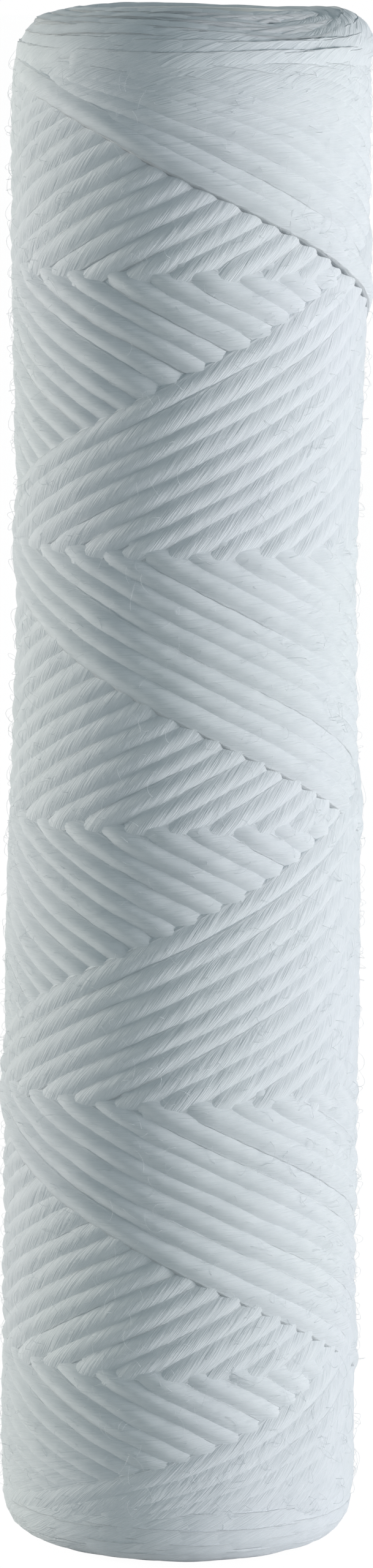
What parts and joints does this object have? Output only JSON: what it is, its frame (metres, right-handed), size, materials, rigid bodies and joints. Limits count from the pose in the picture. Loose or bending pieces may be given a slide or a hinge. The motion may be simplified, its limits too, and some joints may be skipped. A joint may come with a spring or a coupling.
{
  "type": "yarn-wound water filter cartridge",
  "caption": "Cylindrical depth-filter cartridge: pale yarn cross-wound in diamonds on a perforated plastic core, open through at both ends.",
  "frame": {"origin": "centre of the lower end face, on the bore's axis", "axes": "+Z along the bore towards the upper end, -Y towards a viewer in front"},
  "size_m": [0.06, 0.06, 0.254],
  "materials": {
    "yarn": "soft matte spun yarn, pale blue-grey white",
    "core": "moulded natural white plastic"
  },
  "bodies": {
    "root": {"yarn_winding": "yarn", "centre_core": "core"}
  },
  "joints": []
}
